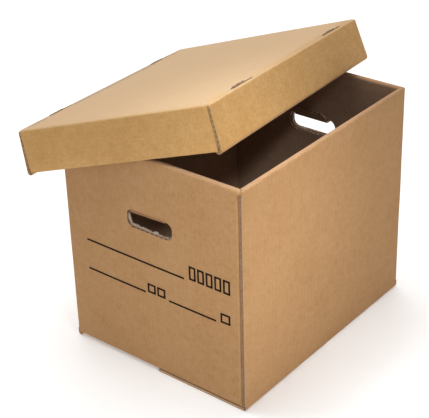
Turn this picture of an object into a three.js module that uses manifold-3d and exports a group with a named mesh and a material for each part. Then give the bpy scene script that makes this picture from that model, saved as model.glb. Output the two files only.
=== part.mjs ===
// Archive box: a double-walled corrugated body and a lift-off tray lid resting askew on it.
// Units are millimetres, +Z is up. Each piece is one folded sheet of board, so each is one solid.
import * as THREE from 'three';
import { mergeVertices } from 'three/addons/utils/BufferGeometryUtils.js';
import Module from 'manifold-3d';

// Body, outside sizes
const BOX_WIDTH = 303;
const BOX_DEPTH = 380;
const BOX_HEIGHT = 329;

// Body board and its folds
const BOARD = 4;
const LAYER_GAP = 0.8;
const FOLD_SLACK = 0.6;
const CORNER_SLIT = 0.9;
const FLAP_LAYER_GAP = 0.5;

// Glued corner joint, front right
const JOINT_GROOVE = 0.9;
const JOINT_FLAP_WIDTH = 34;
const JOINT_FLAP_DROP = 26;

// Bottom flaps
const SEAM_GAP = 1.6;
const INNER_FLAP_LENGTH = 148;
const FLAP_END_TRIM = 1.2;
const LEFT_FLAP_RECESS = 7;

// Hand holes, one in each end wall
const HOLE_WIDTH = 78;
const HOLE_HEIGHT = 27;
const HOLE_CORNER = 11;
const HOLE_DROP = 96;
const INNER_HOLE_MARGIN = 1.5;
const HAND_FLAP_BOARD = 2.6;
const HAND_FLAP_RISE = 13;
const HAND_FLAP_LEAN = 22;
const HAND_FLAP_CORNER = 9;

// Lid board and clearances over the body
const LID_BOARD = 3;
const LID_SIDE_CLEARANCE = 0.5;
const LID_END_CLEARANCE = 5.6;
const LID_HEIGHT = 62.5;
const LID_ROLL_GAP = 1;
const LID_SIDE_FLARE = 3;
const LID_END_FLARE = 4;
const LID_END_SHORT = 3.5;
const LID_END_GAP = 0.5;

// Corner flaps of the lid's end walls, tucked into the side rolls
const TUCK_BOARD = 1.4;
const TUCK_LENGTH = 52;
const TUCK_TOP = 24;
const TUCK_BOTTOM = 8;

// Locking tabs of the lid's side rolls and the slots that they stand in
const TAB_LENGTH = 36;
const TAB_FROM_FRONT = 62;
const TAB_FROM_BACK = 54;
const SLOT_SPARE = 14;
const SLOT_CLEARANCE = 0.6;
const TAB_BELOW_TOP = 0.5;

// How the lid lies on the body
const LID_TURN = 7.1;
const LID_TILT = -19.05;
const LID_ROLL = -1.1;
const LID_SHIFT_LEFT = 80.8;
const LID_SHIFT_BACK = 2.7;
const REST_GAP = 0.3;

// Facets and cutting
const FOLD_STEP = 15;
const ROUND_STEPS = 6;
const CLEAR = 0.3;
const OVERLAP = 2;
const REACH = 40;
const SETTLE_STEPS = 22;

// Outline of a folded sheet seen along its folds. The middle line is walked as straight runs
// and bends, and the sheet's two faces lie half a board to its left and right.
function foldedSheet(start, heading, moves, board) {
  let [x, y] = start;
  let angle = THREE.MathUtils.degToRad(heading);
  const left = [];
  const right = [];
  const mark = () => {
    const nx = -Math.sin(angle) * board / 2;
    const ny = Math.cos(angle) * board / 2;
    left.push(new THREE.Vector2(x + nx, y + ny));
    right.push(new THREE.Vector2(x - nx, y - ny));
  };
  mark();
  for (const move of moves) {
    if (move.run !== undefined) {
      x += Math.cos(angle) * move.run;
      y += Math.sin(angle) * move.run;
      mark();
      continue;
    }
    const steps = Math.max(2, Math.ceil(Math.abs(move.bend) / FOLD_STEP));
    const turn = THREE.MathUtils.degToRad(move.bend) / steps;
    const chord = 2 * move.radius * Math.sin(Math.abs(turn) / 2);
    for (let i = 0; i < steps; i += 1) {
      x += Math.cos(angle + turn / 2) * chord;
      y += Math.sin(angle + turn / 2) * chord;
      angle += turn;
      mark();
    }
  }
  return new THREE.Shape([...left, ...right.reverse()]);
}

// Bases that stand a drawn section upright: across the box, or along its depth
const ACROSS = new THREE.Matrix4().makeBasis(
  new THREE.Vector3(1, 0, 0), new THREE.Vector3(0, 0, 1), new THREE.Vector3(0, -1, 0));
const ALONG = new THREE.Matrix4().makeBasis(
  new THREE.Vector3(0, 1, 0), new THREE.Vector3(0, 0, 1), new THREE.Vector3(1, 0, 0));

const wasm = await Module();
wasm.setup();

function solid(geometry) {
  geometry.deleteAttribute('normal');
  geometry.deleteAttribute('uv');
  const merged = mergeVertices(geometry, 1e-4);
  return new wasm.Manifold(new wasm.Mesh({
    numProp: 3,
    vertProperties: new Float32Array(merged.attributes.position.array),
    triVerts: new Uint32Array(merged.index.array),
  }));
}

function extruded(shape, depth) {
  return new THREE.ExtrudeGeometry(shape, { depth, bevelEnabled: false, curveSegments: ROUND_STEPS });
}

// Section drawn in X and Z, extruded along Y from yFrom to yTo
function sweepY(shape, yFrom, yTo) {
  const geometry = extruded(shape, yTo - yFrom);
  geometry.applyMatrix4(ACROSS);
  geometry.translate(0, yTo, 0);
  return solid(geometry);
}

// Section drawn in Y and Z, extruded along X from xFrom to xTo
function sweepX(shape, xFrom, xTo) {
  const geometry = extruded(shape, xTo - xFrom);
  geometry.applyMatrix4(ALONG);
  geometry.translate(xFrom, 0, 0);
  return solid(geometry);
}

// Plan drawn in X and Y, extruded up from zFrom to zTo
function sweepZ(shape, zFrom, zTo) {
  const geometry = extruded(shape, zTo - zFrom);
  geometry.translate(0, 0, zFrom);
  return solid(geometry);
}

function polygon(points) {
  return new THREE.Shape(points.map(([x, y]) => new THREE.Vector2(x, y)));
}

function rectangle(x0, y0, x1, y1) {
  return polygon([[x0, y0], [x1, y0], [x1, y1], [x0, y1]]);
}

// Rectangle whose four corners have their own radii, from bottom left anticlockwise
function roundedRectangle(x0, y0, x1, y1, [bl, br, tr, tl]) {
  const shape = new THREE.Shape();
  shape.moveTo(x0 + bl, y0);
  shape.lineTo(x1 - br, y0);
  if (br > 0) shape.absarc(x1 - br, y0 + br, br, -Math.PI / 2, 0, false);
  shape.lineTo(x1, y1 - tr);
  if (tr > 0) shape.absarc(x1 - tr, y1 - tr, tr, 0, Math.PI / 2, false);
  shape.lineTo(x0 + tl, y1);
  if (tl > 0) shape.absarc(x0 + tl, y1 - tl, tl, Math.PI / 2, Math.PI, false);
  shape.lineTo(x0, y0 + bl);
  if (bl > 0) shape.absarc(x0 + bl, y0 + bl, bl, Math.PI, 1.5 * Math.PI, false);
  return shape;
}

function block([x0, x1], [y0, y1], [z0, z1]) {
  return sweepZ(rectangle(x0, y0, x1, y1), z0, z1);
}

function joined(pieces) {
  return pieces.reduce((whole, piece) => whole.add(piece));
}

// Body, worked out from its sizes
const right = BOX_WIDTH / 2;
const back = BOX_DEPTH / 2;
const rollRadius = BOARD + LAYER_GAP / 2;
const rollCentre = BOX_HEIGHT - rollRadius;
const foldRadius = BOARD / 2 + FOLD_SLACK;
const foldOutside = foldRadius + BOARD / 2;
const innerFlapBase = BOARD + FLAP_LAYER_GAP;
const wallBase = innerFlapBase + foldOutside;
const innerLayerEnd = innerFlapBase + BOARD + FLAP_LAYER_GAP;
const doubleWall = 2 * BOARD + LAYER_GAP;

// Plan of the wall's outside, with a crisp corner at the glued joint
function outsidePlan() {
  return roundedRectangle(-right, -back, right, back, [foldOutside, 0, foldOutside, foldOutside]);
}

// Four walls as a tube of one board. At the front right corner the right wall's raw edge
// shows beside the front wall's fold, and the front wall's joint flap lies glued behind it.
function wallTube() {
  const tube = outsidePlan();
  const inside = roundedRectangle(
    -right + BOARD, -back + BOARD, right - BOARD, back - BOARD,
    [FOLD_SLACK, 0, FOLD_SLACK, FOLD_SLACK]);
  tube.holes.push(inside);
  const walls = sweepZ(tube, wallBase, rollCentre);

  const flapOutside = right - BOARD;
  const jointFlap = block(
    [flapOutside - BOARD, flapOutside + CLEAR],
    [-back + BOARD - CLEAR, -back + JOINT_FLAP_WIDTH],
    [wallBase, BOX_HEIGHT - JOINT_FLAP_DROP]);

  const groovePlan = new THREE.Shape();
  groovePlan.moveTo(flapOutside, -back - OVERLAP);
  groovePlan.lineTo(flapOutside, -back + foldOutside);
  groovePlan.lineTo(flapOutside - JOINT_GROOVE, -back + foldOutside);
  groovePlan.absarc(
    flapOutside - JOINT_GROOVE - foldOutside, -back + foldOutside, foldOutside, 0, -Math.PI / 2, true);
  groovePlan.lineTo(flapOutside - JOINT_GROOVE - foldOutside, -back - OVERLAP);
  const groove = sweepZ(groovePlan, wallBase - REACH, rollCentre);
  return walls.add(jointFlap).subtract(groove);
}

// Fold at the foot of a wall and the bottom flap beyond it. The section starts at the
// flap's free edge, reach from the middle, and ends a little way up the wall.
function footSection(wallOutside, reach, base, wallTop) {
  const bendStart = wallOutside - BOARD / 2 - foldRadius;
  return foldedSheet([reach, base + BOARD / 2], 0, [
    { run: bendStart - reach },
    { bend: 90, radius: foldRadius },
    { run: wallTop - base - BOARD / 2 - foldRadius },
  ], BOARD);
}

function bottomFlaps() {
  const top = wallBase + OVERLAP;
  const frontEnd = -back + FLAP_END_TRIM;
  const backEnd = back - FLAP_END_TRIM;
  const sideSection = footSection(right, SEAM_GAP / 2, 0, top);
  const rightFlap = sweepY(sideSection, frontEnd, backEnd);
  const leftFlap = sweepY(sideSection, frontEnd, backEnd).mirror([1, 0, 0]);
  const recess = block(
    [-right + foldOutside, -SEAM_GAP / 4], [-back, -back + LEFT_FLAP_RECESS], [-OVERLAP, innerFlapBase - CLEAR]);

  const endSection = footSection(back, back - INNER_FLAP_LENGTH, innerFlapBase, top);
  const halfLength = right - BOARD - FLAP_END_TRIM;
  const backFlap = sweepX(endSection, -halfLength, halfLength);
  const frontFlap = backFlap.mirror([0, 1, 0]);
  return joined([rightFlap, leftFlap.subtract(recess), backFlap, frontFlap]);
}

// Rolled top edge with the inner layer that hangs from it, as a section from outside in
function rollSection(wallOutside) {
  return foldedSheet([wallOutside - BOARD / 2, rollCentre - OVERLAP], 90, [
    { run: OVERLAP },
    { bend: 180, radius: (BOARD + LAYER_GAP) / 2 },
    { run: rollCentre - innerLayerEnd },
  ], BOARD);
}

// Plan of one wall between the slits that part it from its neighbours at the corners
function mitre(halfLength, outside) {
  const slit = CORNER_SLIT / 2;
  const depth = doubleWall + LAYER_GAP;
  return polygon([
    [-halfLength + slit, outside], [-halfLength + slit + depth, outside - depth],
    [halfLength - slit - depth, outside - depth], [halfLength - slit, outside]]);
}

function rolledLayers() {
  const backRoll = sweepX(rollSection(back), -right, right)
    .intersect(sweepZ(mitre(right, back), 0, BOX_HEIGHT + OVERLAP));
  const frontRoll = backRoll.mirror([0, 1, 0]);
  const sideMitre = sweepZ(mitre(back, right), 0, BOX_HEIGHT + OVERLAP).rotate([0, 0, -90]);
  const rightRoll = sweepY(rollSection(right), -back, back).intersect(sideMitre);
  const leftRoll = rightRoll.mirror([1, 0, 0]);

  const jointRoom = block(
    [right - doubleWall - LAYER_GAP, right - BOARD - CLEAR],
    [-back + BOARD + CLEAR, -back + JOINT_FLAP_WIDTH + CLEAR],
    [0, BOX_HEIGHT - JOINT_FLAP_DROP + CLEAR]);
  const outside = sweepZ(outsidePlan(), 0, BOX_HEIGHT + OVERLAP);
  return joined([backRoll, leftRoll, frontRoll.subtract(jointRoom), rightRoll.subtract(jointRoom)])
    .intersect(outside);
}

// Hand hole of the back wall: cut through both layers, a little larger in the inner one
const holeMiddle = BOX_HEIGHT - HOLE_DROP;
const holeTop = holeMiddle + HOLE_HEIGHT / 2;

function handHoleCut() {
  const corner = Math.min(HOLE_CORNER, HOLE_HEIGHT / 2);
  const outline = (margin) => roundedRectangle(
    -HOLE_WIDTH / 2 - margin, holeMiddle - HOLE_HEIGHT / 2 - margin,
    HOLE_WIDTH / 2 + margin, holeTop + margin,
    Array(4).fill(corner + margin));
  const outer = sweepY(outline(0), back - BOARD - LAYER_GAP / 2, back + OVERLAP);
  const inner = sweepY(outline(INNER_HOLE_MARGIN), back - doubleWall - OVERLAP, back - BOARD - LAYER_GAP / 2);
  return outer.add(inner);
}

// Flap of the hand hole: pushed in, bent under the hole's top edge and up behind the wall
function handFlap() {
  const bendRadius = HAND_FLAP_BOARD / 2 + FOLD_SLACK;
  const underside = holeTop - CLEAR - HAND_FLAP_BOARD / 2;
  const start = [back - BOARD / 2, underside + bendRadius + BOARD / 2];
  const through = doubleWall - BOARD / 2 + CLEAR;
  const rise = HAND_FLAP_RISE;
  const section = foldedSheet(start, -90, [
    { run: BOARD / 2 },
    { bend: -90, radius: bendRadius },
    { run: through },
    { bend: -90 + HAND_FLAP_LEAN, radius: bendRadius },
    { run: rise },
  ], HAND_FLAP_BOARD);
  const halfWidth = HOLE_WIDTH / 2 - HOLE_CORNER + CLEAR;
  const freeEdge = holeTop + rise * Math.cos(THREE.MathUtils.degToRad(HAND_FLAP_LEAN)) + CLEAR;
  const outline = roundedRectangle(
    -halfWidth, holeTop - REACH / 4, halfWidth, freeEdge, [0, 0, HAND_FLAP_CORNER, HAND_FLAP_CORNER]);
  return sweepX(section, -halfWidth, halfWidth).intersect(sweepY(outline, back - REACH, back));
}

function boxBody() {
  const shell = joined([wallTube(), bottomFlaps(), rolledLayers()]);
  const cut = handHoleCut();
  const flap = handFlap();
  return shell
    .subtract(cut).subtract(cut.mirror([0, 1, 0]))
    .add(flap).add(flap.mirror([0, 1, 0]));
}

// Lid, worked out to fit over the body. Its own zero is the middle of its flat top.
const lidSideWall = 2 * LID_BOARD + LID_ROLL_GAP;
const lidHalfWidth = BOX_WIDTH / 2 + LID_SIDE_CLEARANCE + lidSideWall;
const lidHalfDepth = BOX_DEPTH / 2 + LID_END_CLEARANCE + LID_BOARD;
const lidFold = LID_BOARD / 2 + FOLD_SLACK;
const innerLayerFace = lidHalfWidth - lidSideWall;

// Angle, sine, cosine and tangent of a wall that leans out by flare over its height
function leanOf(flare, height) {
  const angle = Math.atan2(flare, height);
  return { degrees: THREE.MathUtils.radToDeg(angle), sin: Math.sin(angle), cos: Math.cos(angle), tan: Math.tan(angle) };
}

// Middle line just past a lid crease: how far inside the edge and how far below the top
function creaseEnd(lean) {
  return {
    inset: LID_BOARD / 2 + lidFold - lidFold * lean.cos,
    depth: LID_BOARD / 2 + lidFold - lidFold * lean.sin,
  };
}

// Section of the lid's right half: panel, outer layer leaning out, rolled lower edge,
// and the inner layer standing up to the panel's underside. The roll's radius is the one
// that brings the inner layer to its place.
function lidSideSection() {
  const lean = leanOf(LID_SIDE_FLARE, LID_HEIGHT - LID_BOARD);
  const crease = creaseEnd(lean);
  const lowest = LID_HEIGHT - LID_BOARD / 2;
  const innerInset = lidSideWall - LID_BOARD / 2;
  const rollRadiusLid = (innerInset - crease.inset + lean.tan * (lowest - crease.depth))
    / (1 + lean.cos + lean.tan * (1 + lean.sin));
  const outerRun = (lowest - rollRadiusLid * (1 + lean.sin) - crease.depth) / lean.cos;
  const innerRun = lowest - rollRadiusLid - LID_BOARD - CLEAR;
  return foldedSheet([0, -LID_BOARD / 2], 0, [
    { run: lidHalfWidth - LID_BOARD / 2 - lidFold },
    { bend: -90 + lean.degrees, radius: lidFold },
    { run: outerRun },
    { bend: -180 - lean.degrees, radius: rollRadiusLid },
    { run: innerRun },
  ], LID_BOARD);
}

const endWallHeight = LID_HEIGHT - LID_END_SHORT;
const endLean = leanOf(LID_END_FLARE, endWallHeight - LID_BOARD);

function lidEndSection() {
  return foldedSheet([0, -LID_BOARD / 2], 0, [
    { run: lidHalfDepth - LID_BOARD / 2 - lidFold },
    { bend: -90 + endLean.degrees, radius: lidFold },
    { run: (endWallHeight - creaseEnd(endLean).depth) / endLean.cos },
  ], LID_BOARD);
}

// Where the leaning end wall's outer face is, at a depth below the lid's top
function endFaceAt(depth) {
  const crease = creaseEnd(endLean);
  return lidHalfDepth - crease.inset + endLean.tan * (depth - crease.depth) + LID_BOARD / 2 / endLean.cos;
}

// Side view of the lid between its ends, set back a little from the end walls' outer faces
function lidSideView() {
  const radius = lidFold + LID_BOARD / 2 - LID_END_GAP;
  const centre = lidHalfDepth - LID_BOARD / 2 - lidFold;
  const depth = LID_HEIGHT + OVERLAP;
  const foot = endFaceAt(depth) - LID_END_GAP;
  const view = new THREE.Shape();
  view.moveTo(foot, -depth);
  view.lineTo(centre + radius, -radius - LID_END_GAP);
  view.absarc(centre, -radius - LID_END_GAP, radius, 0, Math.PI / 2, false);
  view.lineTo(centre, OVERLAP);
  view.lineTo(-centre, OVERLAP);
  view.absarc(-centre, -radius - LID_END_GAP, radius, Math.PI / 2, Math.PI, false);
  view.lineTo(-foot, -depth);
  return view;
}

// Flap at the right end of the back wall, folded forward into the side roll
function tuckedFlap() {
  const farEnd = lidHalfDepth - TUCK_LENGTH;
  const profile = polygon([
    [endFaceAt(TUCK_TOP) - CLEAR, -TUCK_TOP],
    [farEnd, -TUCK_TOP - TUCK_BOTTOM],
    [farEnd, -LID_HEIGHT + 2 * TUCK_BOTTOM],
    [endFaceAt(LID_HEIGHT - TUCK_BOTTOM) - CLEAR, -LID_HEIGHT + TUCK_BOTTOM]]);
  const inside = innerLayerFace + LID_BOARD + CLEAR;
  return sweepX(profile, inside, inside + TUCK_BOARD);
}

// Room that the end wall needs between the side rolls, cut from their inner layers
function endWallRoom() {
  const low = endWallHeight + CLEAR;
  const inner = LID_BOARD + CLEAR;
  const profile = polygon([
    [lidHalfDepth + REACH, -inner],
    [endFaceAt(inner) - inner, -inner],
    [endFaceAt(low) - inner, -low],
    [lidHalfDepth + REACH, -low]]);
  const half = innerLayerFace + LID_BOARD + CLEAR / 2;
  return sweepX(profile, -half, half);
}

function lidTab(start) {
  return block(
    [innerLayerFace, innerLayerFace + LID_BOARD],
    [start, start + TAB_LENGTH], [-LID_BOARD - OVERLAP, -TAB_BELOW_TOP]);
}

function lidSlot(start) {
  return block(
    [innerLayerFace - SLOT_CLEARANCE, innerLayerFace + LID_BOARD + SLOT_CLEARANCE],
    [start - SLOT_CLEARANCE, start + TAB_LENGTH + SLOT_SPARE], [-LID_BOARD - CLEAR / 2, OVERLAP]);
}

function lidSolid() {
  const room = endWallRoom();
  const length = lidHalfDepth + REACH;
  const side = sweepY(lidSideSection(), -length, length)
    .intersect(sweepX(lidSideView(), -OVERLAP, lidHalfWidth + REACH))
    .subtract(room).subtract(room.mirror([0, 1, 0]))
    .add(tuckedFlap()).add(tuckedFlap().mirror([0, 1, 0]));
  const endHalf = innerLayerFace + LID_BOARD + LID_END_GAP;
  const backEnd = sweepX(lidEndSection(), -endHalf, endHalf);
  const tray = joined([side, side.mirror([1, 0, 0]), backEnd, backEnd.mirror([0, 1, 0])]);

  const tabStarts = [-lidHalfDepth + TAB_FROM_FRONT, lidHalfDepth - TAB_FROM_BACK - TAB_LENGTH];
  const slots = joined(tabStarts.map(lidSlot));
  const tabs = joined(tabStarts.map(lidTab));
  return tray
    .subtract(slots).subtract(slots.mirror([1, 0, 0]))
    .add(tabs).add(tabs.mirror([1, 0, 0]));
}

// Lets the tilted lid down until it touches the body, then keeps the rest gap
function settledHeight(lid, body) {
  let low = 0;
  let high = BOX_HEIGHT + LID_HEIGHT + BOX_WIDTH;
  for (let step = 0; step < SETTLE_STEPS; step += 1) {
    const middle = (low + high) / 2;
    const touching = !lid.translate([0, 0, middle]).intersect(body).isEmpty();
    if (touching) low = middle;
    else high = middle;
  }
  return high + REST_GAP;
}

function geometryOf(manifold) {
  const mesh = manifold.getMesh();
  const geometry = new THREE.BufferGeometry();
  geometry.setAttribute('position', new THREE.BufferAttribute(mesh.vertProperties, 3));
  geometry.setIndex(new THREE.BufferAttribute(mesh.triVerts, 1));
  geometry.computeVertexNormals();
  return geometry;
}

const bodySolid = boxBody();
const lidShape = lidSolid();

const lidPlace = new THREE.Object3D();
lidPlace.rotation.set(
  THREE.MathUtils.degToRad(LID_ROLL), THREE.MathUtils.degToRad(LID_TILT), THREE.MathUtils.degToRad(LID_TURN));
lidPlace.position.set(-LID_SHIFT_LEFT, LID_SHIFT_BACK, 0);
lidPlace.updateMatrix();
lidPlace.position.z = settledHeight(lidShape.transform(lidPlace.matrix.toArray()), bodySolid);

const bodyBoard = new THREE.MeshStandardMaterial({ color: 0xb58e63, roughness: 0.9, metalness: 0 });
const lidBoardFinish = new THREE.MeshStandardMaterial({ color: 0xc39f69, roughness: 0.9, metalness: 0 });

const body = new THREE.Mesh(geometryOf(bodySolid), bodyBoard);
body.name = 'box_body';
const lid = new THREE.Mesh(geometryOf(lidShape), lidBoardFinish);
lid.name = 'box_lid';
lid.rotation.copy(lidPlace.rotation);
lid.position.copy(lidPlace.position);

// Zero is on the floor, in the middle of everything's footprint
const archiveBox = new THREE.Group();
archiveBox.add(body, lid);
const extent = new THREE.Box3().setFromObject(archiveBox, true);
const middle = extent.getCenter(new THREE.Vector3());
archiveBox.position.set(-middle.x, -middle.y, -extent.min.z);

export default archiveBox;
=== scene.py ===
# %% [markdown]
# # An archive box in kraft board, with its lid thrown across it
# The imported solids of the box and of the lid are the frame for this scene, in metres.
# Each solid is one folded sheet. We copy both, give the copies the slight bow that real
# board has, and then add what a knife, a fold and a printing plate leave on such a box.

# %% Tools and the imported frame
import math

import bmesh
import bpy
from mathutils import Euler, Matrix, Vector, noise


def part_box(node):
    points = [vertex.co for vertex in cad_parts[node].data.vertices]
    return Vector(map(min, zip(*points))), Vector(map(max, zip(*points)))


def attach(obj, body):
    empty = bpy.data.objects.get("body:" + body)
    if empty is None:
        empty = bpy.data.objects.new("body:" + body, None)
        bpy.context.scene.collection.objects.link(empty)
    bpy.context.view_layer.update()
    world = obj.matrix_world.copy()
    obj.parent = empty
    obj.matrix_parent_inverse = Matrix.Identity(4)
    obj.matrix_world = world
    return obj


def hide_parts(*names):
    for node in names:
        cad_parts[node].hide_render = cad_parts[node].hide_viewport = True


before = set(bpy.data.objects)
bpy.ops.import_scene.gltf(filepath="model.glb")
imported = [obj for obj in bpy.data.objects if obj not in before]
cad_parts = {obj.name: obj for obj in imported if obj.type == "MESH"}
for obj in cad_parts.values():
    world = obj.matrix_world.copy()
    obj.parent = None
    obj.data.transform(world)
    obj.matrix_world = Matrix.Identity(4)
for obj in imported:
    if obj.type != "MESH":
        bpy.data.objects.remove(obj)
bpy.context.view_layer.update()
MM = 0.001
body_low, body_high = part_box("box_body")
lid_low, lid_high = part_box("box_lid")
print("box from", tuple(body_low), "to", tuple(body_high))
print("lid from", tuple(lid_low), "to", tuple(lid_high))

# %% [markdown]
# ## The camera
# A photograph of a box tells where its camera stood: each family of parallel edges meets
# in its own vanishing point. We could guess a place and nudge it, but here the place, the
# turn and the focal length come from fitting the box's corners, so they are given as
# numbers, measured from the lowest corner of the box, the one nearest to the lens.

# %% Camera
near_corner = Vector((body_high[0], body_low[1], body_low[2]))
CAMERA_FROM_CORNER_MM = Vector((812.2, -1045.4, 1046.6))
CAMERA_TURN_DEG = (62.113, 1.507, 38.410)
CAMERA_LENS_MM = 106.06
CAMERA_SENSOR_MM = 36
CAMERA_SHIFT_Y = -0.0676
CAMERA_SEES_M = 50

camera = bpy.data.objects.new("camera", bpy.data.cameras.new("camera"))
bpy.context.scene.collection.objects.link(camera)
camera.location = near_corner + CAMERA_FROM_CORNER_MM * MM
camera.rotation_euler = Euler([math.radians(a) for a in CAMERA_TURN_DEG])
camera.data.sensor_width = CAMERA_SENSOR_MM
camera.data.lens = CAMERA_LENS_MM
camera.data.shift_y = CAMERA_SHIFT_Y
camera.data.clip_end = CAMERA_SEES_M
bpy.context.scene.camera = camera
print("camera at", tuple(round(v, 3) for v in camera.location))

# %% [markdown]
# ## Sky and overhead light
# The box stands on white in even light. A bright sky alone would be too flat, and a lamp
# alone too harsh, so a weak sky lights all sides and a broad sun from above gives the lid
# its pale top. The sun comes a little from the left, so that the right wall stays darker.

# %% Sky and sun
SKY_STRENGTH = 0.325
world = bpy.data.worlds.new("studio")
world.use_nodes = True
world.node_tree.nodes["Background"].inputs["Color"].default_value = (1, 1, 1, 1)
world.node_tree.nodes["Background"].inputs["Strength"].default_value = SKY_STRENGTH
bpy.context.scene.world = world
bpy.context.scene.view_settings.view_transform = "Standard"

OVERHEAD_STRENGTH = 2.16
OVERHEAD_FROM = (-0.22, 0.12, 0.97)
OVERHEAD_ANGLE_DEG = 50
overhead = bpy.data.objects.new("overhead", bpy.data.lights.new("overhead", "SUN"))
overhead.data.energy = OVERHEAD_STRENGTH
overhead.data.angle = math.radians(OVERHEAD_ANGLE_DEG)
overhead.rotation_euler = (-Vector(OVERHEAD_FROM)).to_track_quat("-Z", "Y").to_euler()
bpy.context.scene.collection.objects.link(overhead)
print("sky", SKY_STRENGTH, "and sun", OVERHEAD_STRENGTH)

# %% [markdown]
# ## Softboxes
# Three small lamps stand in for the softboxes of a studio. One catches the near upright
# corner and fades along the right wall. A cooler one above pales the lid's near corner. The
# last stands beside the camera and looks in under the lid, where the walls would be black.
# One large lamp could do all that, but it would flatten the walls, so each cone is narrow.

# %% Softboxes
COOL_WHITE = (0.78, 0.90, 1.0)


def softbox(name, place, aim, size, watts, spread_deg, tint=(1, 1, 1)):
    """A square lamp at place, in metres from the near corner, that faces aim."""
    lamp = bpy.data.lights.new(name, "AREA")
    lamp.shape = "SQUARE"
    lamp.size = size
    lamp.energy = watts
    lamp.color = tint
    lamp.spread = math.radians(spread_deg)
    holder = bpy.data.objects.new(name, lamp)
    bpy.context.scene.collection.objects.link(holder)
    holder.location = near_corner + Vector(place)
    direction = near_corner + Vector(aim) - holder.location
    holder.rotation_euler = direction.to_track_quat("-Z", "Y").to_euler()


softbox("key_softbox", place=(0.80, -0.24, 0.28), aim=(0.0, -0.02, 0.13),
        size=0.22, watts=0.10, spread_deg=31)
softbox("corner_softbox", place=(-0.30, -0.10, 1.20), aim=(-0.06, 0.03, 0.42),
        size=0.25, watts=0.08, spread_deg=26, tint=COOL_WHITE)
softbox("inside_softbox", place=(0.78, -0.47, 1.28), aim=(-0.12, 0.19, 0.14),
        size=0.12, watts=0.14, spread_deg=18)

# %% [markdown]
# ## The axes of each sheet
# The lid lies askew, so its length, width and height don't run along the scene's axes.
# Its turn is known from the solids. One matrix takes a point of the lid's own axes, with
# zero in the middle of its flat top, to the scene, and everything on the lid is worked out
# there. The box has such a matrix too, with zero in the middle of its underside.

# %% Places of the box and of the lid
LID_ROLL_DEG, LID_TILT_DEG, LID_TURN_DEG = -1.1, -19.05, 7.1
lid_angles = [math.radians(a) for a in (LID_ROLL_DEG, LID_TILT_DEG, LID_TURN_DEG)]
lid_turn = Euler(lid_angles, "ZYX").to_matrix()
lid_points = [lid_turn.transposed() @ v.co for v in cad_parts["box_lid"].data.vertices]
lid_min = Vector([min(p[i] for p in lid_points) for i in range(3)])
lid_max = Vector([max(p[i] for p in lid_points) for i in range(3)])
lid_top_middle = Vector(((lid_min[0] + lid_max[0]) / 2, (lid_min[1] + lid_max[1]) / 2, lid_max[2]))
lid_place = Matrix.Translation(lid_turn @ lid_top_middle) @ lid_turn.to_4x4()

body_zero = Vector(((body_low[0] + body_high[0]) / 2, (body_low[1] + body_high[1]) / 2, body_low[2]))
body_place = Matrix.Translation(body_zero)
half_width = (body_high[0] - body_low[0]) / 2
half_depth = (body_high[1] - body_low[1]) / 2
box_height = body_high[2] - body_low[2]
print("lid spans", tuple(round(v, 4) for v in lid_max - lid_min))

# %% [markdown]
# ## Helpers for materials
# Each material is a small tree of nodes. We could place the nodes by hand in the editor,
# but a function that adds one node with its settings and links keeps each layer on one
# line. Colours are written as sRGB hex codes, as a colour picker gives them, and shaders
# work with linear values, so another function turns the one into the other.

# %% Helpers for materials
def linear(hex_code):
    """The linear colour of an sRGB hex code, with alpha 1."""
    parts = [int(hex_code[i:i + 2], 16) / 255 for i in (0, 2, 4)]
    return tuple(c / 12.92 if c <= 0.04045 else ((c + 0.055) / 1.055) ** 2.4 for c in parts) + (1,)


def add(tree, kind, settings=None, **links):
    """Adds a node with its own settings. A link names an input, or its number, as _6 for input 6."""
    node = tree.nodes.new(kind)
    for name, value in (settings or {}).items():
        setattr(node, name, value)
    for name, value in links.items():
        key = int(name[1:]) if name[1:].isdigit() else name.replace("_", " ")
        if isinstance(value, bpy.types.NodeSocket):
            tree.links.new(value, node.inputs[key])
        else:
            node.inputs[key].default_value = value
    return node


def new_material(name):
    """A material with an empty node tree, and that tree."""
    material = bpy.data.materials.new(name)
    material.use_nodes = True
    material.node_tree.nodes.clear()
    return material, material.node_tree


def weighted(tree, *pairs):
    """The sum of the sources, each times its weight."""
    total = 0.0
    for source, weight in pairs:
        total = add(tree, "ShaderNodeMath", {"operation": "MULTIPLY_ADD"},
                    _0=source, _1=weight, _2=total).outputs[0]
    return total


def per_metre(size_mm):
    """The scale of a noise whose cells are size_mm across."""
    return 1 / (size_mm * MM)


print("a cell of 10 mm has scale", per_metre(10))

# %% [markdown]
# ## Flutes, counted across the sheet
# The wave between the liners repeats every 8 mm in the box's board and every 6.5 mm in the
# lid's thinner board. Its direction turns wherever the sheet is folded. We could unwrap the
# sheet, but the distance across the flutes is simply x + y on upright walls, and another
# axis on faces that are folded the other way, which the direction of the face tells.

# %% Where a point lies in the sheet, and across which flute
FLUTE_C_MM = 8.0
FLUTE_B_MM = 6.5
FACES_THAT_WAY = 0.7


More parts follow.
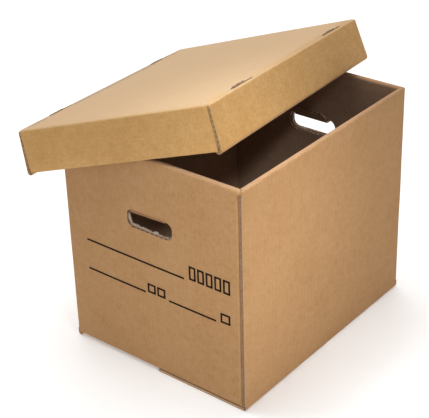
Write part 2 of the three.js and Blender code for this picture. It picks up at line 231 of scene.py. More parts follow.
def sheet_axes(tree, place, counted):
    """A point in the sheet's own axes, its x, y and z, and how far it is across the flutes."""
    turn = place.to_3x3().to_euler("XYZ")
    scene_point = add(tree, "ShaderNodeTexCoord").outputs["Object"]
    own = add(tree, "ShaderNodeMapping", {"vector_type": "TEXTURE"}, Vector=scene_point,
              Location=place.translation, Rotation=turn).outputs[0]
    xyz = add(tree, "ShaderNodeSeparateXYZ", Vector=own).outputs
    round_walls = add(tree, "ShaderNodeMath", {"operation": "ADD"}, _0=xyz[0], _1=xyz[1]).outputs[0]
    if counted == "round the walls":
        return own, xyz, round_walls
    normal = add(tree, "ShaderNodeNewGeometry").outputs["Normal"]
    own_normal = add(tree, "ShaderNodeMapping", {"vector_type": "TEXTURE"}, Vector=normal,
                     Rotation=turn).outputs[0]
    facing = add(tree, "ShaderNodeSeparateXYZ", Vector=own_normal).outputs
    if counted == "along the lid":
        turned, plain, other = facing[1], xyz[1], xyz[2]
    else:
        turned, plain, other = facing[2], round_walls, xyz[1]
    turned = add(tree, "ShaderNodeMath", {"operation": "ABSOLUTE"}, _0=turned).outputs[0]
    turned = add(tree, "ShaderNodeMath", {"operation": "GREATER_THAN"},
                 _0=turned, _1=FACES_THAT_WAY).outputs[0]
    across = add(tree, "ShaderNodeMix", {"data_type": "FLOAT"}, _0=turned, _2=plain, _3=other).outputs[0]
    return own, xyz, across


def flute_wave(tree, across, flute_mm):
    """A sine with one turn for each flute."""
    turns = add(tree, "ShaderNodeMath", {"operation": "MULTIPLY"},
                _0=across, _1=2 * math.pi / (flute_mm * MM)).outputs[0]
    return add(tree, "ShaderNodeMath", {"operation": "SINE"}, _0=turns).outputs[0]


print("flutes every", FLUTE_C_MM, "mm in the box and every", FLUTE_B_MM, "mm in the lid")

# %% [markdown]
# ## Kraft liner
# Kraft liner is unbleached paper: matt, warm brown, with short fibres, darker shives and a
# faint wash of cloudiness. A picture of paper would repeat and show its seams, so all of
# that is drawn from the place of each point in the sheet's own axes, and it runs along the
# board wherever that is folded. Colour comes from a few layers mixed one over another, and
# the same layers give a very small relief, with the flutes as soft stripes.

# %% Layers of the paper
CLOUD_MM = 62.5
BLOTCH_MM = 11.76
FIBRE_WIDTH_MM, FIBRE_LENGTH_MM = 3.03, 5.88
SHIVE_CELL_MM = 4.76
SHIVE_PATCH_MM = 10.53


def pulp(tree, own, counted):
    """Clouds, blotches and fibres. Fibres are drawn 3 mm wide, because real ones would not show."""
    cloud = add(tree, "ShaderNodeTexNoise", Vector=own, Scale=per_metre(CLOUD_MM), Detail=2.0).outputs[0]
    blotch = add(tree, "ShaderNodeTexNoise", Vector=own, Scale=per_metre(BLOTCH_MM), Detail=3.0,
                 Roughness=0.6).outputs[0]
    wide, long = per_metre(FIBRE_WIDTH_MM), per_metre(FIBRE_LENGTH_MM)
    run = (wide, long, wide) if counted == "along the lid" else (wide, wide, long)
    along = add(tree, "ShaderNodeMapping", Vector=own, Scale=run).outputs[0]
    fibre = add(tree, "ShaderNodeTexNoise", Vector=along, Scale=1.0, Detail=3.0, Roughness=0.7).outputs[0]
    return cloud, blotch, fibre


def shives(tree, own):
    """Dark bits of bark, about 1 mm across, that only lie in some patches of the paper."""
    grit = add(tree, "ShaderNodeTexVoronoi", {"feature": "F1"}, Vector=own,
               Scale=per_metre(SHIVE_CELL_MM)).outputs["Distance"]
    grit = add(tree, "ShaderNodeMapRange", Value=grit, _1=0.07, _2=0.13, _3=1.0, _4=0.0).outputs[0]
    patch = add(tree, "ShaderNodeTexNoise", Vector=own, Scale=per_metre(SHIVE_PATCH_MM)).outputs[0]
    patch = add(tree, "ShaderNodeMapRange", Value=patch, _1=0.56, _2=0.62).outputs[0]
    return add(tree, "ShaderNodeMath", {"operation": "MULTIPLY"}, _0=grit, _1=patch).outputs[0]


PRESS_LINES_MM = (45.6, 95.0)
PRESS_LINE_HALF_MM = 1.6
PRESS_LINE_LIGHT = 0.09


def press_line(tree, xyz, line_mm):
    """A pale upright line that the press left on the right wall, line_mm behind its middle."""
    right_wall = add(tree, "ShaderNodeMath", {"operation": "GREATER_THAN"},
                     _0=xyz[0], _1=half_width - 2 * MM).outputs[0]
    off = add(tree, "ShaderNodeMath", {"operation": "SUBTRACT"}, _0=xyz[1], _1=line_mm * MM).outputs[0]
    off = add(tree, "ShaderNodeMath", {"operation": "ABSOLUTE"}, _0=off).outputs[0]
    line = add(tree, "ShaderNodeMapRange", Value=off, _1=0.0, _2=PRESS_LINE_HALF_MM * MM,
               _3=PRESS_LINE_LIGHT, _4=0.0).outputs[0]
    return add(tree, "ShaderNodeMath", {"operation": "MULTIPLY"}, _0=line, _1=right_wall).outputs[0]


print("layers: clouds", CLOUD_MM, "mm, blotches", BLOTCH_MM, "mm, fibres", FIBRE_WIDTH_MM, "mm")

# %% [markdown]
# ## Pale rim and lid top, with painted highlights
# Where liner is stretched over the rim it is paler, and that paler strip is also a painted highlight of the
# rounded rim. The paler top of the lid is a painted highlight. Loose fibres also make the lid look hazy at a
# low angle. We could paint both by hand, but a mix by height finds these places from every side, and a
# little sheen gives the haze without touching the colour.

# %% Kraft liner, as a material
PAPER_ROUGHNESS = 0.82
PAPER_IOR = 1.45
PAPER_SPECULAR = 0.3
HAZE_ROUGHNESS = 0.3
RELIEF_MM = 0.6
TONE_STOPS = (0.42, 0.70, 0.98)
PALE_FROM_MM, PALE_TO_MM, PALE_SHARE = 2.4, 0.8, 0.6
SHIVE_BROWN = "7a5636"


def kraft_liner(name, tones, flute_mm, place, counted, haze=0.0, pale=None, press_lines=()):
    """Liner with tones from dark to light. pale is the height of a fold or top, and the hex code of the
    paler strip there, which is mostly a painted highlight.
    """
    material, tree = new_material(name)
    own, xyz, across = sheet_axes(tree, place, counted)
    flute = flute_wave(tree, across, flute_mm)
    cloud, blotch, fibre = pulp(tree, own, counted)
    tone = weighted(tree, (cloud, 0.30), (blotch, 0.42), (fibre, 0.68), (flute, 0.014))
    for line_mm in press_lines:
        tone = weighted(tree, (press_line(tree, xyz, line_mm), 1.0), (tone, 1.0))
    ramp = add(tree, "ShaderNodeValToRGB", Fac=tone)
    dark, light = ramp.color_ramp.elements
    dark.position, dark.color = TONE_STOPS[0], linear(tones[0])
    light.position, light.color = TONE_STOPS[2], linear(tones[2])
    ramp.color_ramp.elements.new(TONE_STOPS[1]).color = linear(tones[1])
    colour = add(tree, "ShaderNodeMix", {"data_type": "RGBA"}, _0=shives(tree, own),
                 _6=ramp.outputs[0], _7=linear(SHIVE_BROWN)).outputs[2]
    if pale:
        height, pale_hex = pale
        # Paler near the given height: on the box's rim partly stretched liner and partly a painted
        # highlight, on the lid's top a painted highlight.
        stretch_and_painted_highlight = add(tree, "ShaderNodeMapRange", Value=xyz[2], _1=height - PALE_FROM_MM * MM,
                     _2=height - PALE_TO_MM * MM, _3=0.0, _4=PALE_SHARE).outputs[0]
        colour = add(tree, "ShaderNodeMix", {"data_type": "RGBA"}, _0=stretch_and_painted_highlight, _6=colour,
                     _7=linear(pale_hex)).outputs[2]
    relief = weighted(tree, (fibre, 0.35), (flute, 0.10), (blotch, 0.4))
    bump = add(tree, "ShaderNodeBump", Height=relief, Strength=0.35, Distance=RELIEF_MM * MM).outputs[0]
    paper = add(tree, "ShaderNodeBsdfPrincipled", Base_Color=colour, Normal=bump)
    paper.inputs["Roughness"].default_value = PAPER_ROUGHNESS
    paper.inputs["IOR"].default_value = PAPER_IOR
    paper.inputs["Specular IOR Level"].default_value = PAPER_SPECULAR
    paper.inputs["Sheen Weight"].default_value = haze
    paper.inputs["Sheen Roughness"].default_value = HAZE_ROUGHNESS
    add(tree, "ShaderNodeOutputMaterial", Surface=paper.outputs[0])
    return material


# %% [markdown]
# ## Box, inside and lid
# The outside of the box is mid brown, and the lid's is more golden. Inside the box is the same liner, with
# greyer tones that paint the shade inside the box. We could write three materials, but all are the same kind
# of paper, so one function makes them, and only their tones, flutes and pale places differ.

# %% Liners of the box, its inside and the lid
BOX_TONES = ("a97d4d", "b68b5d", "bf966b")
# The inside's greyer tones paint the shade inside the box.
INSIDE_SHADE_TONES = ("a2856d", "ae9179", "ba9e87")
LID_TONES = ("bc8d50", "ca9c60", "d6ab73")
# The rim's paler strip is partly stretched liner and partly a painted highlight; the lid top's paler tone is
# a painted highlight.
RIM_PALE_AND_HIGHLIGHT = "b89274"
LID_TOP_PAINTED_HIGHLIGHT = "dcbb92"
LID_HAZE = 0.40
body_liner = kraft_liner("kraft_liner_of_box", BOX_TONES, FLUTE_C_MM, body_place, "walls and flaps",
                         pale=(box_height, RIM_PALE_AND_HIGHLIGHT), press_lines=PRESS_LINES_MM)
# Greyer tones here paint the shade inside the box, on the same liner as outside.
shaded_inner_liner = kraft_liner("kraft_inside_box_with_painted_shade", INSIDE_SHADE_TONES, FLUTE_C_MM, body_place, "walls and flaps")
lid_liner = kraft_liner("kraft_liner_of_lid", LID_TONES, FLUTE_B_MM, lid_place, "along the lid",
                        haze=LID_HAZE, pale=(0.0, LID_TOP_PAINTED_HIGHLIGHT))
print("liners:", body_liner.name, shaded_inner_liner.name, lid_liner.name)

# %% [markdown]
# ## Raw edge of the board
# Where a knife has cut the board, the eye looks into the flutes: brown hollows between thin paper walls. The
# cut face gets a tone that waves once for each flute, whose dark brown paints the shade in the hollows, and
# its border, where the liners end, gets a paler paper. Where the edge is close to the eye, at the hand holes
# and the lid's tabs, the paper walls are real strips of mesh, made further down, over that painted shade.

# %% Cut board and torn paper, as materials
RAW_ROUGHNESS = 0.95
RAW_RELIEF_MM = 0.4


def edge_paper(name, light_hex, dark_hex, grain_mm, flutes=None):
    """Raw paper whose tone changes over grain_mm. flutes are a pitch, a place and a way to count, and then
    the dark tone also paints the shade in the flute hollows.
    """
    material, tree = new_material(name)
    point = add(tree, "ShaderNodeTexCoord").outputs["Object"]
    grain = add(tree, "ShaderNodeTexNoise", Vector=point, Scale=per_metre(grain_mm), Detail=3.0).outputs[0]
    tone = add(tree, "ShaderNodeMapRange", Value=grain, _1=0.3, _2=0.7).outputs[0]
    if flutes:
        flute_mm, place, counted = flutes
        wave = flute_wave(tree, sheet_axes(tree, place, counted)[2], flute_mm)
        # With flutes, the dark half of the wave paints the shade in the hollows between them.
        tone = weighted(tree, (wave, 0.45), (tone, 0.4), (1.0, 0.3))
    colour = add(tree, "ShaderNodeMix", {"data_type": "RGBA"}, _0=tone, _6=linear(dark_hex),
                 _7=linear(light_hex)).outputs[2]
    bump = add(tree, "ShaderNodeBump", Height=grain, Strength=0.5, Distance=RAW_RELIEF_MM * MM).outputs[0]
    paper = add(tree, "ShaderNodeBsdfPrincipled", Base_Color=colour, Normal=bump)
    paper.inputs["Roughness"].default_value = RAW_ROUGHNESS
    add(tree, "ShaderNodeOutputMaterial", Surface=paper.outputs[0])
    return material


# The dark tones of both cut boards paint the shade in their flute hollows.
cut_box_board = edge_paper("cut_c_flute_board_with_painted_hollow_shade", "b5957a", "4a3424", grain_mm=2.5,
                           flutes=(FLUTE_C_MM, body_place, "round the walls"))
cut_lid_board = edge_paper("cut_b_flute_board_with_painted_hollow_shade", "a98658", "7d5f3a", grain_mm=2.5,
                           flutes=(FLUTE_B_MM, lid_place, "along the lid"))
liner_edge = edge_paper("liner_cut_edge", "cfae8b", "ab8762", grain_mm=1.5)
joint_end = edge_paper("glued_joint_end", "9c7c60", "7a5c44", grain_mm=3.0)
torn = edge_paper("torn_kraft_fibres", "f3e8da", "c7ad93", grain_mm=1.2)
# The flap bend's darker brown paints the shade it lies in, below the hinge.
shaded_flap_bend = edge_paper("flap_bend_liner_painted_shade", "a4774e", "83593a", grain_mm=4.0)
crushed = edge_paper("crushed_tab_fibres", "c9ad92", "80654f", grain_mm=2.2)
print("raw papers:", liner_edge.name, joint_end.name, torn.name, shaded_flap_bend.name, crushed.name)

# %% [markdown]
# ## Cutting a sheet into a grid
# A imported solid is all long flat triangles, and board is never quite flat. We could
# subdivide the triangles, but that gives uneven slivers. A copy cut through by evenly
# spaced planes gets vertices just where they are needed to bow it.

# %% A gridded copy of a solid
GRID_MM = 24.0
TOUCHING_MM = 0.01
FLAT_DEG = 0.5


def gridded_copy(node_name, copy_name, place, extra_cuts=()):
    """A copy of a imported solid, cut by planes in the sheet's own axes, as bmesh and object."""
    sheet = bmesh.new()
    sheet.from_mesh(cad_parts[node_name].data)
    bmesh.ops.remove_doubles(sheet, verts=sheet.verts, dist=TOUCHING_MM * MM)
    bmesh.ops.transform(sheet, matrix=place.inverted(), verts=sheet.verts)
    bmesh.ops.dissolve_limit(sheet, angle_limit=math.radians(FLAT_DEG), verts=sheet.verts, edges=sheet.edges)
    planes = [(axis, place_mm * MM) for axis, place_mm in extra_cuts]
    for axis in range(3):
        low = min(v.co[axis] for v in sheet.verts)
        span = max(v.co[axis] for v in sheet.verts) - low
        steps = int(span / (GRID_MM * MM))
        planes += [(axis, low + step * span / (steps + 1)) for step in range(1, steps + 1)]
    for axis, place_on_axis in planes:
        cut, normal = Vector((0, 0, 0)), Vector((0, 0, 0))
        cut[axis], normal[axis] = place_on_axis, 1
        bmesh.ops.bisect_plane(sheet, geom=sheet.verts[:] + sheet.edges[:] + sheet.faces[:],
                               dist=TOUCHING_MM * MM, plane_co=cut, plane_no=normal)
    copy = bpy.data.objects.new(copy_name, bpy.data.meshes.new(copy_name))
    bpy.context.scene.collection.objects.link(copy)
    return sheet, copy


print("planes every", GRID_MM, "mm")

# %% [markdown]
# ## Bow and ripple
# Folded board bows out a little between its folds, and its faces ripple. We could sculpt
# that by hand, but one rule for the box and one for the lid move every point by where it
# is. Both layers of a double wall follow the same rule, so they never run into each other,
# and rims and corners hold still.

# %% Bowing
WALL_BOW_MM = 0.9
LID_CROWN_MM = 0.7
RIPPLE_MM = 0.35
BOX_RIPPLES_PER_M = 14
LID_RIPPLES_PER_M = 11


def bow_of_box(point):
    """How far a point of the box, in its own axes, moves. The high power spares the other walls."""
    x, y, z = point.x / half_width, point.y / half_depth, point.z / box_height
    upright = math.sin(math.pi * min(max(z, 0), 1))
    side = abs(x) ** 8 * math.copysign(1, x) * math.cos(math.pi / 2 * min(abs(y), 1)) * upright
    end = abs(y) ** 8 * math.copysign(1, y) * math.cos(math.pi / 2 * min(abs(x), 1)) * upright
    ripple = noise.noise_vector(point * BOX_RIPPLES_PER_M) * RIPPLE_MM * upright
    return (Vector((side, end, 0)) * WALL_BOW_MM + Vector((ripple.x, ripple.y, 0))) * MM


def bow_of_lid(point):
    """The lid's flat top crowns very slightly, and its walls ripple."""
    width, depth = (lid_max[0] - lid_min[0]) / 2, (lid_max[1] - lid_min[1]) / 2
    x, y = min(abs(point.x / width), 1), min(abs(point.y / depth), 1)
    crown = math.cos(math.pi / 2 * x) * math.cos(math.pi / 2 * y) * LID_CROWN_MM
    ripple = noise.noise_vector(point * LID_RIPPLES_PER_M) * RIPPLE_MM
    return Vector((ripple.x * x ** 4, ripple.y * y ** 4, crown + 0.4 * ripple.z * (1 - x * y))) * MM


print("a point halfway up the right wall moves", tuple(bow_of_box(Vector((half_width, 0, box_height / 2)))))

# %% [markdown]
# ## Faces and their papers
# A cut face shows flutes, and its border shows where the liners end. We could draw the
# border in the shader, but an inset of the cut faces gives a real strip of mesh that
# follows every corner. The material of each face is chosen before it is bowed, while the
# sheet is still square to its own axes.

# %% Finishing a sheet
CUT, BORDER, INSIDE, JOINT_END = 1, 2, 3, 4
LINER_EDGE_MM = 0.35
SHARP_DEG = 32


def finish_sheet(sheet, copy, bow, place, materials, material_of):
    """Gives each face its material, borders the cut faces with liner, bows and places the sheet."""
    for face in sheet.faces:
        face.material_index = material_of(face)
    cut_faces = [face for face in sheet.faces if face.material_index in (CUT, JOINT_END)]
    border = bmesh.ops.inset_region(sheet, faces=cut_faces, thickness=LINER_EDGE_MM * MM,
                                    use_boundary=True, use_even_offset=False)
    for face in border["faces"]:
        face.material_index = BORDER
    for face in sheet.faces:
        face.smooth = True
    for vertex in sheet.verts:
        vertex.co += bow(vertex.co)
    bmesh.ops.transform(sheet, matrix=place, verts=sheet.verts)
    sheet.to_mesh(copy.data)
    sheet.free()
    copy.data.set_sharp_from_angle(angle=math.radians(SHARP_DEG))
    for material in materials:
        copy.data.materials.append(material)
    print(copy.name, len(copy.data.vertices), "vertices")


# %% [markdown]
# ## The box
# Its cut faces are the edges of both hand holes, the free ends of their flaps, the ends of
# the bottom flaps and the raw end of the right wall at the glued joint, which shows as a
# strip along the near corner. We could pick these faces by hand, but a rule by place and
# direction finds them again whenever the sheet changes. Its places are in millimetres.

# %% The box
BOARD_MM = 4.0
LAYER_GAP_MM = 0.8
DOUBLE_WALL_MM = 2 * BOARD_MM + LAYER_GAP_MM
ROLL_CENTRE_MM = 324.6
HOLE_MIDDLE_MM = 233.0
HOLE_HALF_HEIGHT_MM = 13.5
HOLE_HALF_WIDTH_MM = 39.0
HOLE_CORNER_MM = 11.0
INNER_MARGIN_MM = 1.5
HINGE_MM = HOLE_MIDDLE_MM + HOLE_HALF_HEIGHT_MM
HAND_FLAP_HALF_MM = HOLE_HALF_WIDTH_MM - HOLE_CORNER_MM + 0.4
HAND_FLAP_BEND_MM = 3.5
HAND_FLAP_END_Y_MM = (165, 176)
HAND_FLAP_END_Z_MM = (249, 262)
NEAR_MM = 0.5
width_mm, depth_mm = half_width / MM, half_depth / MM


def face_of_box(face):
    """CUT for an edge that shows its flutes, BORDER for one worn flat, INSIDE for inner walls."""
    centre, normal = face.calc_center_median() / MM, face.normal
    x, y, z = abs(centre.x), abs(centre.y), centre.z
    off_hole = abs(z - HOLE_MIDDLE_MM) - HOLE_HALF_HEIGHT_MM - INNER_MARGIN_MM
    at_hole = y > depth_mm - DOUBLE_WALL_MM - NEAR_MM and off_hole < NEAR_MM and \
        x < HOLE_HALF_WIDTH_MM + INNER_MARGIN_MM + NEAR_MM
    on_flap = x < HAND_FLAP_HALF_MM
    under_flap = on_flap and z > HINGE_MM - HAND_FLAP_BEND_MM
    flap_end_place = HAND_FLAP_END_Y_MM[0] < y < HAND_FLAP_END_Y_MM[1] and \
        HAND_FLAP_END_Z_MM[0] < z < HAND_FLAP_END_Z_MM[1]
    hand_flap_end = on_flap and flap_end_place and normal.z > 0.6 and normal.y * centre.y < -0.3
    if normal.y < -0.9 and centre.x > width_mm - BOARD_MM and z < ROLL_CENTRE_MM:
        return JOINT_END
    if hand_flap_end or (at_hole and abs(normal.y) < 0.5 and not under_flap):
        return CUT
    if abs(normal.y) > 0.9 and z < BOARD_MM:
        return BORDER
    inside = x < width_mm - DOUBLE_WALL_MM + NEAR_MM and y < depth_mm - DOUBLE_WALL_MM + NEAR_MM
    return INSIDE if inside and z > BOARD_MM - 0.1 else 0


box_cuts = ((0, width_mm - BOARD_MM), (2, ROLL_CENTRE_MM))
box_sheet, box_piece = gridded_copy("box_body", "folded_box", body_place, box_cuts)
box_papers = [body_liner, cut_box_board, liner_edge, shaded_inner_liner, joint_end]
finish_sheet(box_sheet, box_piece, bow_of_box, body_place, box_papers, face_of_box)
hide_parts("box_body")
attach(box_piece, "root")

# %% [markdown]
# ## The lid
# Its cut faces are the raw ends of the rolled sides, which show at the corners, the lower
# edges of the end walls, and the walls of the four slots. The same kind of rule finds them,
# with zero in the middle of the flat top, so that the lid's tilt doesn't matter.

# %% The lid
ROLL_FROM_MM = 151.5
END_WALL_FROM_MM = 198
LOWER_EDGE_MM = -50
SLOT_X_MM = (151, 156)
SLOT_Z_MM = (-2.9, -0.2)
SLOT_Y_MM = 190


def face_of_lid(face):
    """CUT for the raw ends of the rolls, the end walls' lower edges and the slots, 0 for liner."""
    centre, normal = face.calc_center_median() / MM, face.normal
    x, y, z = abs(centre.x), abs(centre.y), centre.z
    roll_end = abs(normal.y) > 0.9 and x > ROLL_FROM_MM
    lower_edge = normal.z < -0.9 and y > END_WALL_FROM_MM and z < LOWER_EDGE_MM
    slot = SLOT_Z_MM[0] < z < SLOT_Z_MM[1] and SLOT_X_MM[0] < x < SLOT_X_MM[1] and y < SLOT_Y_MM
    return CUT if roll_end or lower_edge or slot else 0


lid_sheet, lid_piece = gridded_copy("box_lid", "folded_lid", lid_place)
lid_papers = [lid_liner, cut_lid_board, liner_edge]
finish_sheet(lid_sheet, lid_piece, bow_of_lid, lid_place, lid_papers, face_of_lid)
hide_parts("box_lid")
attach(lid_piece, "root")

# %% [markdown]
# ## Strips of paper
# A punch leaves the flutes of both layers bare along the sill of a hand hole. We could
# paint a zigzag, but from the side a painted one is flat. So each liner and each flute is a
# thin strip of paper that stands a little proud of the cut face. The strips are drawn about
# twice as thick as real paper, because the real thickness would not show.

# %% Strips, and pieces made of them
STRIP_MM = 0.55
EDGE_FROM_MM = 236.0


def strip(sheet, feet, tops, across, thickness_mm=STRIP_MM):
    """A paper wall that stands from feet to tops. across gives the way of its thickness."""
    half = across * thickness_mm * MM / 2
    rows = []
    for foot, top in zip(feet, tops):
        rows.append([sheet.verts.new(p) for p in (foot - half, foot + half, top + half, top - half)])
    for row, after in zip(rows, rows[1:]):
        for side in range(4):
            sheet.faces.new((row[side], row[(side + 1) % 4], after[(side + 1) % 4], after[side]))
    sheet.faces.new(rows[0][::-1])
    sheet.faces.new(rows[-1])


def piece_of(sheet, name, material, turn_outwards=True):
    """The finished mesh as a visible piece that rides on the box."""
    if turn_outwards:
        bmesh.ops.recalc_face_normals(sheet, faces=sheet.faces)
    mesh = bpy.data.meshes.new(name)
    sheet.to_mesh(mesh)
    sheet.free()
    mesh.materials.append(material)
    piece = bpy.data.objects.new(name, mesh)
    bpy.context.scene.collection.objects.link(piece)
    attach(piece, "root")
    print(name, len(mesh.polygons), "faces")


def hole_edge(half_wide_mm, sill_mm, corner_mm, step_mm):
    """Points (x, z) and directions into the opening, down the left side, along the sill, up."""
    edge = []
    low = sill_mm + corner_mm
    straight = half_wide_mm - corner_mm
    for i in range(int((EDGE_FROM_MM - low) / step_mm)):
        edge.append((-half_wide_mm, EDGE_FROM_MM - i * step_mm, 1, 0))
    turns = max(4, int(corner_mm * math.pi / 2 / step_mm))
    for i in range(turns):
        angle = math.pi + math.pi / 2 * i / turns
        edge.append((-straight + corner_mm * math.cos(angle), low + corner_mm * math.sin(angle),
                     -math.cos(angle), -math.sin(angle)))
    steps = int(2 * straight / step_mm)
    edge += [(-straight + 2 * straight * i / steps, sill_mm, 0, 1) for i in range(steps)]
    return edge + [(-x, z, -into_x, into_z) for x, z, into_x, into_z in reversed(edge[:-steps])]


SILL_MM = HOLE_MIDDLE_MM - HOLE_HALF_HEIGHT_MM
OUTER_HOLE_MM = (HOLE_HALF_WIDTH_MM, SILL_MM, HOLE_CORNER_MM)
INNER_HOLE_MM = (HOLE_HALF_WIDTH_MM + INNER_MARGIN_MM, SILL_MM - INNER_MARGIN_MM,
                 HOLE_CORNER_MM + INNER_MARGIN_MM)
INNER_DEPTH_MM = BOARD_MM + LAYER_GAP_MM
print("edge of the hole in", len(hole_edge(*OUTER_HOLE_MM, 0.8)), "points")

# %% [markdown]
# ## Creased flaps of the hand holes
# The board cut out of a hand hole stays hinged at the top and is folded away inwards. Its liner doesn't fold
# sharply: it leans in and rounds the crease, and shows as a brown band below the hinge line. Its paper is a
# darker brown that paints the shade in which the band lies. A sharp fold with a painted shadow would vanish
# from other sides, so the band is a curved surface, deeper at its left end, with a frayed lower edge.

# %% Bends of the hand hole flaps
BEND_PROFILE_MM = ((0.0, 0.0), (0.5, -2.6), (1.3, -4.8), (2.6, -6.2), (4.4, -6.6))
BEND_LEFT_MM, BEND_RIGHT_MM = -32.0, 27.0
BEND_SHARE_AT_RIGHT = 0.45
BEND_PROUD_MM = 0.1
BEND_FRAY_MM = 0.6
BEND_STEPS = 56

flap_bends = bmesh.new()
for end in (-1, 1):
    columns = []
    for i in range(BEND_STEPS + 1):
        part = i / BEND_STEPS
        x = BEND_LEFT_MM + (BEND_RIGHT_MM - BEND_LEFT_MM) * part
        share = 1 + (BEND_SHARE_AT_RIGHT - 1) * part
        fray = BEND_FRAY_MM * noise.noise(Vector((40 * part - 20, end, 0)))
        column = []
        for inwards, down in BEND_PROFILE_MM:
            if (inwards, down) == BEND_PROFILE_MM[-1]:
                down += fray
            y = end * (depth_mm - inwards * share + BEND_PROUD_MM)
            point = Vector((x, y, HINGE_MM + down * share)) * MM
            column.append(flap_bends.verts.new(body_place @ (point + bow_of_box(point))))
        columns.append(column)
    for column, after in zip(columns, columns[1:]):
        for row in range(len(BEND_PROFILE_MM) - 1):
            flap_bends.faces.new((column[row], column[row + 1], after[row + 1], after[row])).smooth = True
piece_of(flap_bends, "hand_hole_flap_bends", shaded_flap_bend)

# %% [markdown]
# ## Flutes at the hand holes
# Each layer of the wall shows two liners with a flute between them, so each gets three
# strips: two straight ones, and one that swings from liner to liner once for each flute.

# %% Flutes of both hand holes
FLUTE_STEP_MM = 0.8
STRIP_ROOT_MM = 0.2
STRIP_PROUD_MM = 0.3
LINER_MIDDLE_MM = 0.3
FLUTE_SWING_MM = BOARD_MM / 2 - 0.75
LAYER_STRIPS_MM = ((LINER_MIDDLE_MM, 0.0), (BOARD_MM - LINER_MIDDLE_MM, 0.0), (BOARD_MM / 2, FLUTE_SWING_MM))

flute_strips = bmesh.new()
for end in (-1, 1):
    for hole, depth in ((OUTER_HOLE_MM, 0.0), (INNER_HOLE_MM, INNER_DEPTH_MM)):
        edge = hole_edge(*hole, FLUTE_STEP_MM)
        for middle, swing in LAYER_STRIPS_MM:
            feet, tops = [], []
            for x, z, into_x, into_z in edge:
                wave = swing * math.sin(2 * math.pi * x / FLUTE_C_MM)
                point = Vector((x, end * (depth_mm - depth - middle - wave), z)) * MM
                point += bow_of_box(point)
                into = Vector((into_x, 0, into_z)) * MM
                feet.append(body_place @ (point - into * STRIP_ROOT_MM))
                tops.append(body_place @ (point + into * STRIP_PROUD_MM))
            strip(flute_strips, feet, tops, Vector((0, -end, 0)))
piece_of(flute_strips, "hand_hole_flutes", liner_edge)

# %% [markdown]
# ## Torn fibres
# The punch tears the inner layer more than it cuts it, and a pale ragged fringe stays along
# its edge. Single hairs would be too fine to show, so the fringe is one strip whose top
# rises and falls with two waves of noise, a slow one and a quick one.

# %% Torn fibres of both hand holes
FRINGE_STEP_MM = 0.7
FRINGE_HEIGHT_MM = 3.0
FRINGE_WAVES = ((2.4, 0.25, 7), (2.6, 1.30, 3))
FRINGE_LEAST_MM = 0.3
FRINGE_LEAN = 0.25
FRINGE_INSET_MM = 0.35
FRINGE_STRIP_MM = 0.4

fringe = bmesh.new()
for end in (-1, 1):
    feet, tops = [], []
    for x, z, into_x, into_z in hole_edge(*INNER_HOLE_MM, FRINGE_STEP_MM):
        point = Vector((x, end * (depth_mm - INNER_DEPTH_MM - FRINGE_INSET_MM), z)) * MM
        point += bow_of_box(point)
        ragged = FRINGE_HEIGHT_MM
        for height_mm, per_mm, seed in FRINGE_WAVES:
            ragged += height_mm * noise.noise(Vector((x * per_mm, z * per_mm, end * seed)))
        ragged *= 1.0 if into_z > 0.5 or x < 0 else 0.5
        into = Vector((into_x, 0, into_z)) * MM
        lean = Vector((0, -end * FRINGE_LEAN * ragged, 0)) * MM
        feet.append(body_place @ (point - into * STRIP_ROOT_MM))
        tops.append(body_place @ (point + into * max(FRINGE_LEAST_MM, ragged) + lean))
    strip(fringe, feet, tops, Vector((0, -end, 0)), FRINGE_STRIP_MM)
piece_of(fringe, "hand_hole_torn_fibres", torn)

# %% [markdown]
# ## Tabs in the lid's slots
# Four tabs of the rolled sides lock in slots beside the long creases of the lid. Their cut
# ends poke up through the top and are crushed by handling, so each shows pale flutes and
# ragged liner. They are strips again, this time along the crease, with a ragged top.

# %% Cut ends of the tabs
TABS_MM = ((-136.0, -101.2), (109.2, 144.0))
TAB_STEP_MM = 0.8
TAB_MIDDLE_MM = 153.5
TAB_HALF_MM = 1.2
TAB_SWING_MM = 0.75
TAB_ROOT_MM = 0.9
TAB_CORNER_MM = 9
TAB_PROUD_MM = {-1: 0.8, 1: 1.9}


def tab_height(side, offset, y, first, last):
    """How far a strip of a tab stands above the lid: ragged, and lower at the tab's corners."""
    ragged = TAB_PROUD_MM[side] * (1 + 0.7 * noise.noise(Vector((y * 0.3, side * 5 + offset, 0))))
    return ragged * min(1.0, 0.3 + (y - first) / TAB_CORNER_MM, 0.3 + (last - y) / TAB_CORNER_MM)


tab_ends = bmesh.new()
lid_across = lid_turn @ Vector((1, 0, 0))
for side in (-1, 1):
    for first, last in TABS_MM:
        steps = int((last - first) / TAB_STEP_MM)
        for offset, swing in ((-TAB_HALF_MM, 0.0), (TAB_HALF_MM, 0.0), (0.0, TAB_SWING_MM)):
            feet, tops = [], []
            for i in range(steps + 1):
                y = first + (last - first) * i / steps
                x = side * TAB_MIDDLE_MM + offset + swing * math.sin(2 * math.pi * y / FLUTE_B_MM)
                foot = Vector((x, y, -TAB_ROOT_MM)) * MM
                foot += bow_of_lid(foot)
                rise = TAB_ROOT_MM + tab_height(side, offset, y, first, last)
                feet.append(lid_place @ foot)
                tops.append(lid_place @ (foot + Vector((0.2 * offset, 0, rise)) * MM))
            strip(tab_ends, feet, tops, lid_across)
piece_of(tab_ends, "lid_tab_ends", crushed)

# %% [markdown]
# ## Ink
# A rubber plate prints one dark colour on the front end with water-based ink, which sinks
# into the liner: nearly black, quite matt, and a little starved here and there. Black alone
# would look like a sticker, so a fine noise lets the brown of the liner through.

# %% Ink, as a material
STARVED_MM = 2.38
INK_BLACK, INK_STARVED = "1e1108", "6d4d30"
INK_ROUGHNESS = 0.8
INK_SPECULAR = 0.12


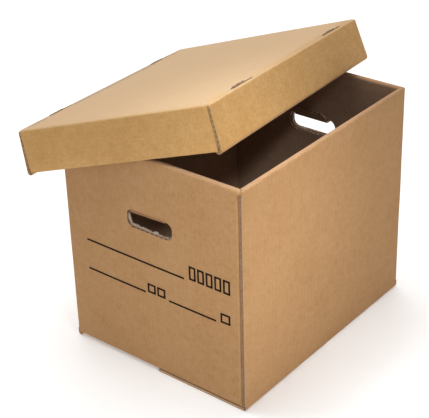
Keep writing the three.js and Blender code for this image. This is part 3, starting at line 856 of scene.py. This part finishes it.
def flexo_ink():
    """Ink that has sunk into the liner. It barely shines, because paper fibres stand through it."""
    material, tree = new_material("flexo_ink")
    point = add(tree, "ShaderNodeTexCoord").outputs["Object"]
    starved = add(tree, "ShaderNodeTexNoise", Vector=point, Scale=per_metre(STARVED_MM),
                  Detail=2.0).outputs[0]
    amount = add(tree, "ShaderNodeMapRange", Value=starved, _1=0.62, _2=0.80, _4=0.25).outputs[0]
    colour = add(tree, "ShaderNodeMix", {"data_type": "RGBA"}, _0=amount, _6=linear(INK_BLACK),
                 _7=linear(INK_STARVED)).outputs[2]
    ink = add(tree, "ShaderNodeBsdfPrincipled", Base_Color=colour)
    ink.inputs["Roughness"].default_value = INK_ROUGHNESS
    ink.inputs["Specular IOR Level"].default_value = INK_SPECULAR
    add(tree, "ShaderNodeOutputMaterial", Surface=ink.outputs[0])
    return material


print("starved spots about", STARVED_MM, "mm across")

# %% [markdown]
# ## Lines to write on, and squares
# The plate prints a heading line and two short lines to write on, with open squares beside
# them. An image could carry that, but a few flat shapes laid a hair above the liner print
# sharper, bow with the wall, and need no image.

# %% The print
INK_LIFT_MM = 0.12
INK_STEP_MM = 12.0
RULE_STROKE_MM = 2.9
SQUARE_STROKE_MM = 3.0
SQUARE_GAP_MM = 2.6
# Left, right and middle height of each line. Places run from the end's left edge and down from its rim
RULES_MM = ((35.4, 207.5, 156.7), (34.3, 138.9, 203.0), (179.5, 258.5, 202.0))
# Left, right, top and bottom of each row of squares, and how many it has
SQUARES_MM = ((215.7, 282.7, 134.1, 155.1, 5), (142.7, 173.7, 187.1, 201.6, 2),
              (265.7, 281.7, 186.1, 201.1, 1))


def printed_bar(sheet, left, right, top, bottom):
    """A bar of ink on the front end, in steps short enough to follow its bow."""
    columns = max(1, math.ceil((right - left) / INK_STEP_MM))
    rows = max(1, math.ceil((bottom - top) / INK_STEP_MM))
    grid = []
    for row in range(rows + 1):
        line = []
        for column in range(columns + 1):
            x = -half_width + (left + (right - left) * column / columns) * MM
            z = box_height - (top + (bottom - top) * row / rows) * MM
            point = Vector((x, -half_depth, z))
            point += bow_of_box(point) - Vector((0, INK_LIFT_MM * MM, 0))
            line.append(sheet.verts.new(body_place @ point))
        grid.append(line)
    for upper, lower in zip(grid, grid[1:]):
        for column in range(columns):
            sheet.faces.new((lower[column], lower[column + 1], upper[column + 1], upper[column]))


def printed_square(sheet, left, right, top, bottom, stroke):
    """An open square drawn with four bars."""
    printed_bar(sheet, left, right, top, top + stroke)
    printed_bar(sheet, left, right, bottom - stroke, bottom)
    printed_bar(sheet, left, left + stroke, top + stroke, bottom - stroke)
    printed_bar(sheet, right - stroke, right, top + stroke, bottom - stroke)


print_sheet = bmesh.new()
for left, right, middle in RULES_MM:
    printed_bar(print_sheet, left, right, middle - RULE_STROKE_MM / 2, middle + RULE_STROKE_MM / 2)
for left, right, top, bottom, count in SQUARES_MM:
    width = (right - left - SQUARE_GAP_MM * (count - 1)) / count
    for index in range(count):
        start = left + index * (width + SQUARE_GAP_MM)
        printed_square(print_sheet, start, start + width, top, bottom, SQUARE_STROKE_MM)
piece_of(print_sheet, "front_print", flexo_ink(), turn_outwards=False)

# %% [markdown]
# ## The floor
# The box was shot on white, so the floor is a wide plain white sheet that goes on past the
# frame on every side. It takes a soft contact shadow, which shows that the box stands on
# it. It glows a little, because lamps bright enough to make it white would bleach the box.

# %% Floor
FLOOR_REACH_M = 12.0
FLOOR_DROP_MM = 0.4
FLOOR_WHITE = (0.90, 0.90, 0.90, 1)
FLOOR_GLOW = 0.25
corners = [(x * FLOOR_REACH_M, y * FLOOR_REACH_M, -FLOOR_DROP_MM * MM)
           for x, y in ((-1, -1), (1, -1), (1, 1), (-1, 1))]
floor_mesh = bpy.data.meshes.new("studio_floor")
floor_mesh.from_pydata(corners, [], [(0, 1, 2, 3)])
floor = bpy.data.objects.new("studio_floor", floor_mesh)
bpy.context.scene.collection.objects.link(floor)
floor_material, floor_tree = new_material("white_studio_paper")
floor_paper = add(floor_tree, "ShaderNodeBsdfPrincipled", Base_Color=FLOOR_WHITE)
floor_paper.inputs["Roughness"].default_value = 0.9
floor_paper.inputs["Emission Color"].default_value = (1, 1, 1, 1)
floor_paper.inputs["Emission Strength"].default_value = FLOOR_GLOW
add(floor_tree, "ShaderNodeOutputMaterial", Surface=floor_paper.outputs[0])
floor_mesh.materials.append(floor_material)
print("floor", 2 * FLOOR_REACH_M, "m wide")
